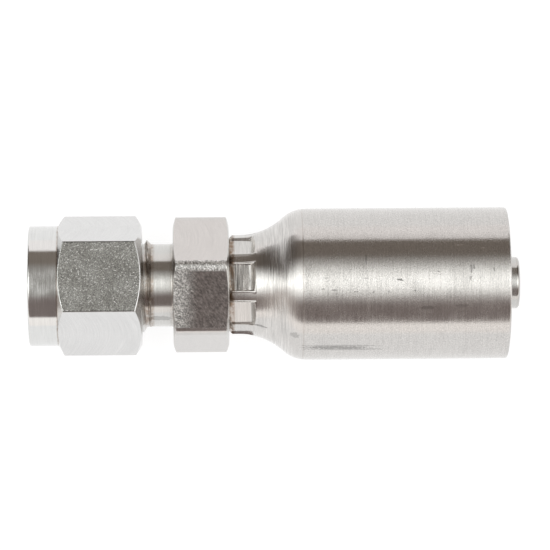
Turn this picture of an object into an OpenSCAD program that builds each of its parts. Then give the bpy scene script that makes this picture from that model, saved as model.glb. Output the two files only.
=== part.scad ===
// Crimp hose fitting with a twin-ferrule tube end.
// The axis of the fitting is X, and the origin is the shoulder on which the tube bottoms.
// The tube comes in from -X, and the hose is pushed on from +X. Sizes are in millimetres.

/* [Tube end] */
// Outside diameter of the tube
tube_d = 6.35; // [5.5:0.05:7]
// Radial gap between the tube and the bores of the body and the ferrules
tube_gap = 0.05; // [0.05:0.01:0.15]
// Depth from the front of the body to the shoulder on which the tube bottoms
socket_depth = 7.8; // [6:0.1:9]
// How far the edge of the body's conical mouth lies inside the front ferrule's rim
mouth_inset = 0.15; // [0.1:0.01:0.25]
// Half angle of the mouth and of the front ferrule
mouth_angle = 20; // [18:0.5:24]
// Diameter of the flow passage behind the tube
flow_d = 4.8; // [4.2:0.1:5.4]

/* [Thread] */
// Outside diameter of the male thread
thread_d = 11.06; // [10.8:0.02:11.5]
// Pitch of the thread, which sets how deep the relief behind it is
thread_pitch = 1.27; // [1:0.01:1.5]
// Length of the full thread from the front of the body
thread_len = 6.14; // [5:0.1:7]
// Radial gap between the male thread and the nut
thread_gap = 0.07; // [0.05:0.01:0.15]
// Chamfer on the first turn of the thread
thread_lead = 0.55; // [0.3:0.05:0.6]

/* [Body hexagon] */
// Length of the neck between the full thread and the hexagon
neck_len = 3.24; // [2:0.1:4.5]
// Distance across the flats of the hexagon
hex_flats = 14.29; // [13.5:0.05:15]
// Length of the hexagon along the axis
hex_len = 6.49; // [5:0.1:8]
// Radius on the corners of the drawn hexagon bar
hex_corner_r = 1.1; // [0.5:0.1:1.5]
// Turn of the hexagon about the axis, from a corner pointing up
hex_turn = 8.3; // [0:0.1:60]
// Angle between the hexagon's end chamfers and its end faces
hex_chamfer_angle = 15; // [10:1:35]
// How far inside the flats the end chamfers of both hexagons start
chamfer_inset = 0.15; // [0.05:0.05:0.4]

/* [Nut] */
// Distance across the flats of the nut
nut_flats = 14.29; // [13.8:0.05:15]
// Overall length of the nut
nut_len = 13.12; // [12:0.1:14]
// Length of the nut's hexagon
nut_hex_len = 9.73; // [8.5:0.1:11]
// Angle between the nut's hexagon chamfers and its end faces
nut_chamfer_angle = 30; // [15:1:35]
// Diameter of the round collar at the tube end of the nut
collar_d = 14.04; // [13:0.05:14.2]
// Radius on the outer edge of the collar
collar_edge_r = 0.2; // [0.1:0.05:0.6]
// Length of the bore that guides the tube through the nut
nut_guide_len = 3.75; // [3:0.05:4.2]
// Radial gap between the tube and that bore
nut_guide_gap = 0.1; // [0.08:0.01:0.2]
// Chamfer at the mouth of the guide bore
nut_mouth_chamfer = 0.5; // [0.3:0.05:0.7]
// Angle of the nut's seat, from a flat face
seat_angle = 20; // [10:1:30]
// Room that the nut leaves in front of the body, for the turns that set the ferrules
nut_run_in = 2; // [1.7:0.05:2.2]

/* [Ferrules] */
// Radial wall of the front ferrule at its rim
front_rim_wall = 1.33; // [1.2:0.01:1.45]
// Length of the round rim at the back of the front ferrule
front_rim_len = 1; // [0.6:0.05:1.2]
// Wall of the front ferrule at its nose
front_nose_wall = 0.28; // [0.2:0.02:0.4]
// Radial width of the rim around the recess at the back of the front ferrule
recess_lip = 0.5; // [0.4:0.05:0.6]
// How far the back ferrule's flange lies inside the front ferrule's rim
flange_inset = 0.05; // [0.02:0.01:0.1]
// Length of the back ferrule's flange
back_flange_len = 1.4; // [1:0.05:1.6]
// Gap between the back ferrule's flange and the front ferrule
flange_stand = 0.3; // [0.2:0.05:0.4]
// Radial wall of the back ferrule at its nose
back_nose_wall = 0.25; // [0.2:0.02:0.35]
// Gap along the axis between each ferrule and its seat, when finger tight
ferrule_gap = 0.05; // [0.03:0.01:0.1]
// Radial gap between the ferrules and the nut
counterbore_gap = 0.15; // [0.1:0.01:0.25]

/* [Hose shell] */
// Diameter of the shell where it grips the hose
shell_d = 17.7; // [17:0.05:19]
// Overall length of the shell
shell_len = 32.49; // [30:0.1:36]
// Thickness of the shell's wall around the hose
shell_wall = 1.75; // [1.5:0.05:2]
// Radial wall of the shell's staked collar
shell_neck_wall = 1.25; // [1:0.01:1.5]
// Length of the staked collar, up to the flare
shell_neck_len = 1.1; // [0.8:0.05:1.6]
// Chamfer on the end of the staked collar
shell_neck_chamfer = 0.4; // [0.2:0.05:0.5]
// Share of the flare's rise that its hollow curve takes, before the round one
flare_hollow_share = 0.66; // [0.4:0.01:0.7]
// Angle of the flare where its two curves meet
flare_angle = 42.2; // [36:0.1:46]
// Radius on the outer edge of the shell's open end
shell_edge_r = 0.25; // [0.1:0.05:0.6]
// Height of the ridges inside the shell
ridge_h = 0.45; // [0.3:0.05:0.6]
// Distance between ridges
ridge_pitch = 3.1; // [2.2:0.1:4]
// Distance from the shell's open end to the last ridge
ridge_setback = 2.6; // [2:0.1:4]

/* [Staking] */
// Number of punched pockets around the collar
stake_count = 8; // [6:1:8]
// Depth of each pocket's flat floor below the top of the collar
stake_depth = 0.42; // [0.2:0.02:0.5]
// Width of each pocket at its top
stake_w = 3.3; // [2.6:0.1:3.5]
// Length of each pocket's floor, from the end of the collar
stake_len = 2.6; // [2:0.1:2.9]
// How far each pocket's inner face is pressed into the body's groove
stake_bump = 0.35; // [0.2:0.05:0.45]
// Distance from the body's hexagon to the groove
groove_setback = 0.8; // [0.5:0.05:1]
// Gap between each pressed-in face and the ends of the groove
bump_gap = 0.2; // [0.1:0.05:0.3]

/* [Hose stem] */
// Outside diameter of the stem
stem_d = 6.05; // [5.6:0.05:6.4]
// Bore through the stem
stem_bore_d = 3.9; // [3.4:0.1:4.2]
// How far the stem stands out of the shell
stem_out = 1.44; // [0.5:0.1:3]
// Length of the plain nose at the end of the stem
stem_nose_len = 5; // [3.5:0.1:7]
// Radius on the edge of the stem's end
stem_edge_r = 0.35; // [0.2:0.05:0.5]
// Diameter of the spigot that the shell is staked on
spigot_d = 9; // [8.8:0.05:9.4]
// Length of the spigot
spigot_len = 3.5; // [3.2:0.1:4]
// Radial gap between the spigot and the shell
spigot_gap = 0.05; // [0.03:0.01:0.1]
// Depth of the grooves between the stem's barbs
barb_depth = 0.4; // [0.2:0.05:0.5]
// Distance between barbs
barb_pitch = 2.6; // [1.6:0.1:4]

/* [Hidden] */
$fn = 96;
// Tools run this far past the faces that they cut
over = 1;
// Points that draw a quarter turn of an edge radius, and one hexagon corner
edge_steps = 6;
corner_steps = 6;

// The bore that takes the tube is the same in the body and both ferrules, and wider in the nut
bore_r = tube_d / 2 + tube_gap;
guide_r = tube_d / 2 + nut_guide_gap;
thread_r = thread_d / 2;
// The relief is as deep as the thread, which is 0.54 of its pitch
relief_r = thread_r - 0.54 * thread_pitch;

// Stations of the body along the axis
body_x = -socket_depth;
thread_x = body_x + thread_len;
hex_x = thread_x + neck_len;
shell_x = hex_x + hex_len;
spigot_x = shell_x + spigot_len;
shell_end_x = shell_x + shell_len;
stem_end_x = shell_end_x + stem_out;

// Stations of the ferrules and the nut, counted back from the mouth of the body
front_r = bore_r + front_rim_wall;
mouth_r = front_r - mouth_inset;
front_nose_r = bore_r + front_nose_wall;
front_nose_x = body_x + (mouth_r - front_nose_r) / tan(mouth_angle) - ferrule_gap;
front_shoulder_x = body_x - (front_r - mouth_r) / tan(mouth_angle) - ferrule_gap;
front_back_x = front_shoulder_x - front_rim_len;
recess_r = front_r - recess_lip;
back_r = front_r - flange_inset;
back_nose_r = bore_r + back_nose_wall;
back_nose_x = front_back_x + (recess_r - back_nose_r) - ferrule_gap;
flange_x = front_back_x - flange_stand;
flange_root_r = recess_r + flange_stand - ferrule_gap;
back_rim_x = flange_x - back_flange_len;
back_heel_x = back_rim_x - (back_r - bore_r) * tan(seat_angle);
counterbore_r = front_r + counterbore_gap;
seat_rim_x = back_rim_x + (counterbore_r - back_r) * tan(seat_angle) - ferrule_gap;
seat_heel_x = seat_rim_x - (counterbore_r - guide_r) * tan(seat_angle);
nut_x = seat_heel_x - nut_guide_len;
nut_end_x = nut_x + nut_len;
nut_hex_x = nut_end_x - nut_hex_len;
nut_thread_r = thread_r + thread_gap;

// Stations of the shell: its collar, the two curves of its flare and its barrel
shell_bore_r = spigot_d / 2 + spigot_gap;
neck_r = shell_bore_r + shell_neck_wall;
shell_r = shell_d / 2;
hose_r = shell_r - shell_wall;
flare_x = shell_x + shell_neck_len;
flare_sum_r = (shell_r - neck_r) / (1 - cos(flare_angle));
flare_hollow_r = flare_hollow_share * flare_sum_r;
flare_round_r = flare_sum_r - flare_hollow_r;
flare_end_x = flare_x + flare_sum_r * sin(flare_angle);
stake_floor_r = neck_r - stake_depth;
groove_r = shell_bore_r - stake_bump - spigot_gap;
groove_x = shell_x + groove_setback;
groove_end_x = shell_x + stake_len;

// The ridges and the barbs fill the straight length in which the hose is gripped
last_ridge_x = shell_end_x - ridge_setback;
ridge_count = floor((last_ridge_x - flare_end_x) / ridge_pitch);
nose_x = stem_end_x - stem_nose_len;
barb_count = floor((nose_x - flare_end_x) / barb_pitch);

// Points of an arc about c, from angle a to angle b
function arc(c, r, a, b, steps) =
    [for (i = [0:steps]) let (t = a + (b - a) * i / steps) c + r * [cos(t), sin(t)]];

// Points of a hexagon with rounded corners, with one corner on the first axis
function round_hexagon(flats, r) =
    let (c = (flats / 2 - r) / cos(30))
    [for (k = [0:5]) each arc(c * [cos(60 * k), sin(60 * k)], r, 60 * k - 30, 60 * k + 30, corner_steps)];

// A solid of revolution about the X axis, from points that give the place along X and the radius
module turned(points) {
    rotate([0, 90, 0])
        rotate_extrude()
            polygon([for (p = points) [p[1], p[0]]]);
}

// A cylinder along X from x0 to x1
module rod(r, x0, x1) {
    translate([x0, 0, 0])
        rotate([0, 90, 0])
            cylinder(r = r, h = x1 - x0);
}

// The shape that turns the two ends of a hexagon down to chamfers of radius r0 and r1
module chamfer_envelope(x0, x1, r0, r1, reach, angle) {
    rise0 = (reach - r0) * tan(angle);
    rise1 = (reach - r1) * tan(angle);
    turned([[x0, 0], [x0, r0], [x0 + rise0, reach], [x1 - rise1, reach], [x1, r1], [x1, 0]]);
}

// A prism along X from x0 to x1, with its first axis pointing up before it is turned
module prism_along_x(x0, x1, turn) {
    translate([x0, 0, 0])
        rotate([-turn, 0, 0])
            rotate([0, 90, 0])
                rotate(180)
                    linear_extrude(height = x1 - x0)
                        children();
}

// The female nut: a hexagon and a collar outside, a guide bore, a seat and a thread inside
module compression_nut() {
    corner_r = nut_flats / 2 / cos(30);
    collar_r = collar_d / 2;
    thread_start_x = body_x - nut_run_in;
    color("gainsboro")
        difference() {
            union() {
                intersection() {
                    prism_along_x(nut_hex_x, nut_end_x, 30)
                        circle(r = corner_r, $fn = 6);
                    chamfer_envelope(nut_hex_x, nut_end_x, collar_r,
                        nut_flats / 2 - chamfer_inset, corner_r + over, nut_chamfer_angle);
                }
                turned(concat(
                    [[nut_x, 0]],
                    arc([nut_x + collar_edge_r, collar_r - collar_edge_r], collar_edge_r, 180, 90, edge_steps),
                    [[nut_hex_x + over, collar_r], [nut_hex_x + over, 0]]));
            }
            turned([
                [nut_x - over, 0],
                [nut_x - over, guide_r + nut_mouth_chamfer + over],
                [nut_x + nut_mouth_chamfer, guide_r],
                [seat_heel_x, guide_r],
                [seat_rim_x, counterbore_r],
                [thread_start_x, counterbore_r],
                [thread_start_x, nut_thread_r],
                [nut_end_x - thread_lead, nut_thread_r],
                [nut_end_x + over, nut_thread_r + thread_lead + over],
                [nut_end_x + over, 0]]);
        }
}

// The back ferrule: a flange that the nut pushes, and a nose that wedges under the front ferrule
module back_ferrule() {
    color("silver")
        turned([
            [back_heel_x, bore_r],
            [back_rim_x, back_r],
            [flange_x, back_r],
            [flange_x, flange_root_r],
            [back_nose_x, back_nose_r],
            [back_nose_x, bore_r]]);
}

// The front ferrule: a cone that seals in the mouth of the body
module front_ferrule() {
    color("silver")
        turned([
            [front_back_x, recess_r],
            [front_back_x, front_r],
            [front_shoulder_x, front_r],
            [front_nose_x, front_nose_r],
            [front_nose_x, bore_r],
            [front_back_x + recess_r - bore_r, bore_r]]);
}

// The outside of the body's threaded end and neck, up to the middle of the hexagon
module threaded_end() {
    turned([
        [body_x, 0],
        [body_x, thread_r - thread_lead],
        [body_x + thread_lead, thread_r],
        [thread_x, thread_r],
        [thread_x + thread_r - relief_r, relief_r],
        [hex_x + over, relief_r],
        [hex_x + over, 0]]);
}

// The hexagon that a spanner holds
module body_hexagon() {
    intersection() {
        prism_along_x(hex_x, shell_x, hex_turn)
            polygon(round_hexagon(hex_flats, hex_corner_r));
        chamfer_envelope(hex_x, shell_x, hex_flats / 2 - chamfer_inset,
            hex_flats / 2 - chamfer_inset, hex_flats, hex_chamfer_angle);
    }
}

// The spigot, with the groove that the staked pockets lock into, and the barbed stem
module barbed_stem() {
    stem_r = stem_d / 2;
    root_r = stem_r - barb_depth;
    first_barb_x = nose_x - barb_count * barb_pitch;
    turned(concat(
        [[shell_x - over, 0],
         [shell_x - over, spigot_d / 2],
         [groove_x, spigot_d / 2],
         [groove_x, groove_r],
         [groove_end_x, groove_r],
         [groove_end_x, spigot_d / 2],
         [spigot_x, spigot_d / 2],
         [spigot_x + spigot_d / 2 - stem_r, stem_r],
         [first_barb_x - 0.25 * barb_pitch, stem_r],
         [first_barb_x - 0.25 * barb_pitch, root_r]],
        [for (i = [0:barb_count - 1]) let (x = first_barb_x + i * barb_pitch)
            each [[x, root_r], [x, stem_r], [x + 0.75 * barb_pitch, root_r]]],
        [[nose_x, root_r],
         [nose_x, stem_r]],
        arc([stem_end_x - stem_edge_r, stem_r - stem_edge_r], stem_edge_r, 90, 0, edge_steps),
        [[stem_end_x, 0]]));
}

// The passage for the tube and the oil, from the mouth to the end of the stem
module body_passage() {
    stem_bore_r = stem_bore_d / 2;
    socket_x = body_x + (mouth_r - bore_r) / tan(mouth_angle);
    step_x = shell_x;
    nose_chamfer = 0.2;
    turned([
        [body_x - over, 0],
        [body_x - over, mouth_r + over * tan(mouth_angle)],
        [socket_x, bore_r],
        [0, bore_r],
        [0, flow_d / 2],
        [step_x, flow_d / 2],
        [step_x + flow_d / 2 - stem_bore_r, stem_bore_r],
        [stem_end_x - nose_chamfer, stem_bore_r],
        [stem_end_x + over, stem_bore_r + nose_chamfer + over],
        [stem_end_x + over, 0]]);
}

// The body: thread, neck, hexagon, spigot and stem, turned from one bar
module fitting_body() {
    color("lightgray")
        difference() {
            union() {
                threaded_end();
                body_hexagon();
                barbed_stem();
            }
            body_passage();
        }
}

// The outside of the shell: a collar, a flare of two curves and a straight barrel
function shell_outside() = concat(
    [[shell_x, 0],
     [shell_x, neck_r - shell_neck_chamfer],
     [shell_x + shell_neck_chamfer, neck_r]],
    arc([flare_x, neck_r + flare_hollow_r], flare_hollow_r, 270, 270 + flare_angle, 3 * edge_steps),
    arc([flare_end_x, shell_r - flare_round_r], flare_round_r, 90 + flare_angle, 90, 3 * edge_steps),
    arc([shell_end_x - shell_edge_r, shell_r - shell_edge_r], shell_edge_r, 90, 0, edge_steps),
    [[shell_end_x, 0]]);

// The hollow of the shell: a neck bore, a cone and a ridged hose bore with a chamfered mouth.
// The ridges are steep on the side that holds the hose in, as the stem's barbs are.
module shell_hollow() {
    mouth_chamfer = 0.5;
    first_ridge_x = last_ridge_x - (ridge_count - 1) * ridge_pitch;
    turned(concat(
        [[shell_x - over, 0],
         [shell_x - over, shell_bore_r],
         [spigot_x, shell_bore_r],
         [flare_end_x, hose_r]],
        [for (i = [0:ridge_count - 1]) let (x = first_ridge_x + i * ridge_pitch)
            each [[x, hose_r], [x + 0.4 * ridge_h, hose_r - ridge_h], [x + 0.8 * ridge_h, hose_r - ridge_h],
                  [x + 2.8 * ridge_h, hose_r]]],
        [[shell_end_x - mouth_chamfer, hose_r],
         [shell_end_x + over, hose_r + mouth_chamfer + over],
         [shell_end_x + over, 0]]));
}

// One pocket's tool: steep sides, a sloping end wall and a flat floor
module stake_pocket() {
    side_slope = 0.45;
    end_slope = 0.7;
    top_r = neck_r + over;
    half_w = stake_w / 2;
    floor_half_w = half_w - side_slope * stake_depth;
    length = stake_len + over;
    intersection() {
        prism_along_x(shell_x - over, shell_x + stake_len + over * 3, 0)
            polygon([
                [stake_floor_r, -floor_half_w],
                [stake_floor_r, floor_half_w],
                [top_r, half_w + side_slope * over],
                [top_r, -half_w - side_slope * over]]);
        translate([shell_x - over, half_w + over, 0])
            rotate([90, 0, 0])
                linear_extrude(height = stake_w + 2 * over)
                    polygon([
                        [0, 0],
                        [length, 0],
                        [length, stake_floor_r],
                        [length + end_slope * (top_r - stake_floor_r), top_r],
                        [0, top_r]]);
    }
}

// One pressed-in bump under a pocket, which locks in the body's groove
module stake_bumps() {
    bump_x = groove_x + bump_gap;
    bump_end_x = groove_end_x - bump_gap;
    difference() {
        intersection() {
            rod(shell_bore_r + shell_neck_wall / 4, bump_x, bump_end_x);
            union() {
                for (k = [0:stake_count - 1])
                    rotate([k * 360 / stake_count, 0, 0])
                        translate([bump_x, -stake_w / 4, groove_r - over])
                            cube([bump_end_x - bump_x, stake_w / 2, 2 * over + shell_neck_wall]);
            }
        }
        rod(shell_bore_r - stake_bump, bump_x - over, bump_end_x + over);
    }
}

// The shell: turned outside and ridged inside, staked to the body by the pockets round its collar
module hose_shell() {
    color("lightsteelblue")
        union() {
            difference() {
                turned(shell_outside());
                shell_hollow();
                for (k = [0:stake_count - 1])
                    rotate([k * 360 / stake_count, 0, 0])
                        stake_pocket();
            }
            stake_bumps();
        }
}

compression_nut();
back_ferrule();
front_ferrule();
fitting_body();
hose_shell();
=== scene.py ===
# A straight stainless steel hydraulic hose fitting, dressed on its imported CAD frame.
# Sizes are in millimetres and angles in degrees until a mesh is made. The axis of the fitting is X,
# and an angle round it is counted from +Z towards +Y.
from math import asin, atan2, ceil, cos, degrees, radians, sin, sqrt, tan

import bmesh
import bpy
from mathutils import Matrix, Vector


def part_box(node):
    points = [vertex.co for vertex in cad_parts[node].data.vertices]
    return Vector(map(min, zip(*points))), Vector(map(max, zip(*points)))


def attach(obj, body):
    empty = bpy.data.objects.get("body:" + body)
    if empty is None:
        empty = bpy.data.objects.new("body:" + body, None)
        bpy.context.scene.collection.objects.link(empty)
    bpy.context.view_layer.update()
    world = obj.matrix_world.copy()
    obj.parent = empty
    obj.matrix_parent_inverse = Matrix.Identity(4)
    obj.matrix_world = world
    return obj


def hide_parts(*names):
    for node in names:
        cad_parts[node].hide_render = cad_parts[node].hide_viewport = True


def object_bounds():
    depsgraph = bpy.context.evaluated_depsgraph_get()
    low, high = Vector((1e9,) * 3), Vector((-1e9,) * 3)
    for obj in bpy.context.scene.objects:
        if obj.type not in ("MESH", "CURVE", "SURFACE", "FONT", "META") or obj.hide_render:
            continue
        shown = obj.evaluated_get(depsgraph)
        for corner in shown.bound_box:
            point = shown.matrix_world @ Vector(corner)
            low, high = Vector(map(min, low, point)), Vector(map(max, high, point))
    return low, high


MM = 0.001
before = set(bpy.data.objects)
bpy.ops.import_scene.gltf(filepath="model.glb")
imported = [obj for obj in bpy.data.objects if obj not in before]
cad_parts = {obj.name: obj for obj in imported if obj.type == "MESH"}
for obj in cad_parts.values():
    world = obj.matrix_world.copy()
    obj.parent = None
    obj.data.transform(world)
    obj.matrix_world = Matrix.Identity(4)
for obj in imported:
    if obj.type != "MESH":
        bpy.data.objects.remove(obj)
cad_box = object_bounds()


def span(node):
    """Where a CAD node starts and ends along the axis, in millimetres."""
    low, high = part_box(node)
    return low[0] / MM, high[0] / MM


# Stations and sizes that the CAD frame gives
nut_x, nut_end_x = span("compression_nut")
body_x, stem_end_x = span("fitting_body")
shell_x, shell_end_x = span("hose_shell")
floor_z = cad_box[0][2]

# Tube end and thread, as in the CAD part
BORE_R = 3.225
MOUTH_R = 4.405
MOUTH_ANGLE = 20
FLOW_R = 2.4
THREAD_R = 5.53
THREAD_PITCH = 1.27
THREAD_LEN = 6.14
THREAD_LEAD = 0.55
THREAD_ROOT_R = 4.865
FLANK_ANGLE = 30
# Depth of the relief behind the thread, as a share of the pitch
RELIEF_DEPTH_SHARE = 0.54
RELIEF_R = THREAD_R - RELIEF_DEPTH_SHARE * THREAD_PITCH
# The turn of the helix that puts a crest of the male thread where the photograph shows one
CREST_X = -1.3
CREST_ANGLE = 81

# Hexagons. A flat takes 60 degrees, and half of one is counted a little short of its corner
HEX_FLATS = 14.29
HEX_LEN = 6.49
HEX_TURN = 8.3
HEX_CORNER_R = 1.1
NUT_TURN = 30
NUT_CORNER_R = 0.15
HEX_CHAMFER_SLOPE = tan(radians(15))
NUT_CHAMFER_SLOPE = tan(radians(30))
CHAMFER_INSET = 0.15
HALF_FLAT = 29.9
hex_x = shell_x - HEX_LEN

# Nut
NUT_HEX_LEN = 9.73
COLLAR_R = 7.02
COLLAR_EDGE_R = 0.2
GUIDE_R = 3.275
GUIDE_LEN = 3.75
GUIDE_MOUTH = 0.5
SEAT_ANGLE = 20
COUNTERBORE_R = 4.705
NUT_THREAD_R = 5.6
NUT_THREAD_CREST_R = 4.965
NUT_RELIEF_LEN = 0.8
RUN_IN = 2
nut_hex_x = nut_end_x - NUT_HEX_LEN
nut_thread_x = body_x - RUN_IN

# Hose shell
SHELL_R = 8.85
SHELL_EDGE_R = 0.25
SHELL_BORE_R = 4.55
NECK_R = 5.8
NECK_LEN = 1.1
NECK_CHAMFER = 0.4
HOSE_R = 7.1
HOSE_MOUTH = 0.5
FLARE_ANGLE = 42.2
FLARE_HOLLOW_SHARE = 0.66
RIDGE_H = 0.45
RIDGE_PITCH = 3.1
RIDGE_COUNT = 6
RIDGE_SETBACK = 2.6
# How far from the foot of its steep side a ridge's slope ends, and its flat crest starts and ends, in heights
RIDGE_SLOPE_END = 2.8
RIDGE_CREST_START = 0.4
RIDGE_CREST_END = 0.8
flare_x = shell_x + NECK_LEN
flare_sum_r = (SHELL_R - NECK_R) / (1 - cos(radians(FLARE_ANGLE)))
flare_end_x = flare_x + flare_sum_r * sin(radians(FLARE_ANGLE))

# Staking: punched pockets outside the shell's collar, and bumps inside it that stand in the body's groove
STAKE_COUNT = 8
STAKE_DEPTH = 0.42
STAKE_W = 3.3
STAKE_LEN = 2.6
STAKE_SIDE_SLOPE = 0.45
STAKE_END_SLOPE = 0.7
# Height of a bump, its width as a share of the pocket's, its gap from each end of the groove, and half the
# angle over which its sides rise
STAKE_BUMP = 0.35
BUMP_W_SHARE = 0.5
BUMP_GAP = 0.2
BUMP_EASE = 0.5
GROOVE_SETBACK = 0.8
# The end wall of a pocket is a ramp of this length, which steepens towards the flare
STAKE_RAMP = 0.64
# How far the walls of a pocket are rounded at the foot, where the ramp starts, at a corner and at the rim
STAKE_FOOT_BLEND = 0.04
STAKE_RAMP_BLEND = 0.06
STAKE_CORNER_BLEND = 0.1
STAKE_RIM_BLEND = 0.03
# Height and width of the metal that a punch has pushed up round its pocket
STAKE_RIM = 0.035
STAKE_RIM_REACH = 0.13
# A place on the collar that lies deeper than this is the punch's work, which is scored within this angle of
# the top
PRESSED_DEPTH = 0.03
SCORED_ANGLE = 20

# The line round the shell at which one turning tool stopped and the next began
TOOL_LINE_X = 16.6
TOOL_LINE_DEPTH = 0.02
TOOL_LINE_HALF_W = 0.05
TOOL_LINE_EASE = 1.2

# Stem
SPIGOT_R = 4.5
SPIGOT_LEN = 3.5
GROOVE_R = 4.15
STEM_R = 3.025
STEM_EDGE_R = 0.35
STEM_BORE_R = 1.95
STEM_BORE_CHAMFER = 0.2
STEM_NOSE_LEN = 5
BARB_DEPTH = 0.4
BARB_PITCH = 2.6
BARB_COUNT = 7
# The slope of a barb, as a share of the pitch, and the radius of its edge
BARB_SHARE = 0.75
BARB_EDGE_R = 0.04

# Small radii: in grooves and on fine edges, on turned edges, on the nut's front corner and on hexagons
FINE_R = 0.06
EDGE_R = 0.08
NUT_FRONT_R = 0.1
HEX_EDGE_R = 0.12
# The hollow radius between the neck and the hexagon
NECK_FILLET_R = 0.2

# Meshes: steps in each rounded edge, and the narrow strip beside it that keeps the flat next to it flat
FILLET_STEPS = 4
SUPPORT = 0.06
# A rounded edge takes at most this share of the shorter face beside it, and a strip this share of that
EDGE_SHARE = 0.42
SUPPORT_SHARE = 0.1
# An edge stays sharp if a face beside it is shorter than this, or if half the angle between the two faces is
# outside this range
SHORTEST_FACE = 1e-4
ROUNDED_HALF_ANGLES = (1, 89.5)
# Faces that meet at more than this angle are shaded apart, and points nearer than this in metres are joined
SHARP_ANGLE = 33
WELD = 2e-7

# Finishes. Each point of an outline names that of the face which starts there
TURNED = "turned"
FLATS = "flats"
POLISHED = "polished"
BORE = "bore"
WORN = "worn"
STAMPED = "stamped"
SCORED = "scored"


def steps(start, end, count):
    """Evenly spaced values from start to end, both included."""
    return [start + (end - start) * i / count for i in range(count + 1)]


def rounded(points):
    """Turns corners (x, r, radius, finish) into arcs, and gives the outline as points (x, r, finish)."""
    result = []
    for i, (x, r, radius, finish) in enumerate(points):
        here = Vector((x, r))
        back = Vector(points[i - 1][:2]) - here
        on = Vector(points[(i + 1) % len(points)][:2]) - here
        if radius == 0:
            result.append((x, r, finish))
            continue
        shorter = min(back.length, on.length)
        half = degrees(back.angle(on)) / 2 if shorter > SHORTEST_FACE else 90
        least, most = ROUNDED_HALF_ANGLES
        if not least <= half <= most:
            # As many points as an arc and its two strips have, so that all columns have the same number
            result += [(x, r, finish)] * (FILLET_STEPS + 3)
            continue
        room = EDGE_SHARE * shorter
        reach = min(radius / tan(radians(half)), room)
        strip = min(SUPPORT, SUPPORT_SHARE * room)
        back.normalize()
        on.normalize()
        true_radius = reach * tan(radians(half))
        centre = here + (back + on).normalized() * (true_radius / sin(radians(half)))
        start = here + back * reach - centre
        end = here + on * reach - centre
        shares = steps(0, 1, FILLET_STEPS)
        arc = [centre + start.slerp(end, share) * true_radius for share in shares]
        arc = [here + back * (reach + strip)] + arc + [here + on * (reach + strip)]
        result += [(p.x, p.y, finish) for p in arc]
    return result


def lathe(name, columns, outline, materials):
    """A closed solid from an outline that may change from column to column.

    materials: the material of each finish that the outline has
    """
    slots = list(materials)
    bm = bmesh.new()
    rings = []
    for column in columns:
        beta = radians(column)
        points = outline(column)
        verts = [bm.verts.new((x * MM, r * sin(beta) * MM, r * cos(beta) * MM)) for x, r, _ in points]
        rings.append((verts, [finish for _, _, finish in points]))
    for (ring, finishes), (following, _) in zip(rings, rings[1:]):
        for i in range(len(finishes)):
            j = (i + 1) % len(finishes)
            face = bm.faces.new((ring[i], ring[j], following[j], following[i]))
            face.material_index = slots.index(finishes[i])
            face.smooth = True
    bmesh.ops.remove_doubles(bm, verts=bm.verts, dist=WELD)
    bmesh.ops.dissolve_degenerate(bm, edges=bm.edges, dist=WELD)
    bmesh.ops.recalc_face_normals(bm, faces=bm.faces)
    mesh = bpy.data.meshes.new(name)
    bm.to_mesh(mesh)
    bm.free()
    mesh.set_sharp_from_angle(angle=radians(SHARP_ANGLE))
    for finish in slots:
        mesh.materials.append(materials[finish])
    piece = bpy.data.objects.new(name, mesh)
    bpy.context.scene.collection.objects.link(piece)
    return piece


def full_turn(angles):
    """The angles, brought into one turn and sorted, with both ends of the turn."""
    inside = sorted({round(a % 360, 5) for a in angles} - {0.0})
    return [0.0] + inside + [360.0]


def off_angle(angle, middle):
    """How far an angle round the axis lies from another."""
    return abs((angle - middle + 180) % 360 - 180)


def smooth_min(a, b, blend):
    """The smaller of a and b, rounded off where they cross."""
    share = max(blend - abs(a - b), 0) / blend
    return min(a, b) - share * share * blend / 4


def smooth_max(a, b, blend):
    """The larger of a and b, rounded off where they cross."""
    return -smooth_min(-a, -b, blend)


def corner_half_angle(corner_r):
    """Half the angle that the round corner of a hexagon takes, seen from the axis."""
    centre = (HEX_FLATS / 2 - corner_r) / cos(radians(30))
    return degrees(atan2(corner_r / 2, centre + corner_r * cos(radians(30))))


def hexagon_r(angle, turn, corner_r):
    """Radius of a hexagon with round corners, the first of which is at the angle called turn."""
    psi = radians((angle - turn + 30) % 60 - 30)
    if abs(degrees(psi)) > corner_half_angle(corner_r):
        return HEX_FLATS / 2 / cos(radians(30) - abs(psi))
    centre = (HEX_FLATS / 2 - corner_r) / cos(radians(30))
    return centre * cos(psi) + sqrt(corner_r ** 2 - (centre * sin(psi)) ** 2)


def hexagon_columns(turn, corner_r, corner_steps, flat_steps):
    """Columns for a hexagon: close together on its corners, and evenly spaced on its flats."""
    half = corner_half_angle(corner_r)
    strip = 0.5
    angles = []
    for k in range(6):
        corner = turn + 60 * k
        angles += steps(corner - half, corner + half, corner_steps)
        angles += steps(corner + half + strip, corner + 60 - half - strip, flat_steps)
    return full_turn(angles)


# Places in one pitch of the thread at which it has rows: at each edge and either side of it
THREAD_ROWS = [0, 0.04, 0.0625, 0.09, 0.15, 0.22, 0.29, 0.345, 0.37, 0.4, 0.45,
               0.5, 0.55, 0.6, 0.63, 0.655, 0.71, 0.78, 0.85, 0.91, 0.9375, 0.96]


def helix_rows(start, end, angle, radius, finish):
    """Rows that follow the thread's helix from start to end, with the radius that each place has."""
    first = int((start - CREST_X) / THREAD_PITCH - CREST_ANGLE / 360)
    whole = ceil((end - start) / THREAD_PITCH) + 2
    rows = []
    for k in range(first - 1, first + whole):
        for share in THREAD_ROWS:
            x = CREST_X + (k + share + (CREST_ANGLE - angle) / 360) * THREAD_PITCH
            x = min(max(x, start), end)
            rows.append((x, radius(x, angle), 0, finish))
    return rows


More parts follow.
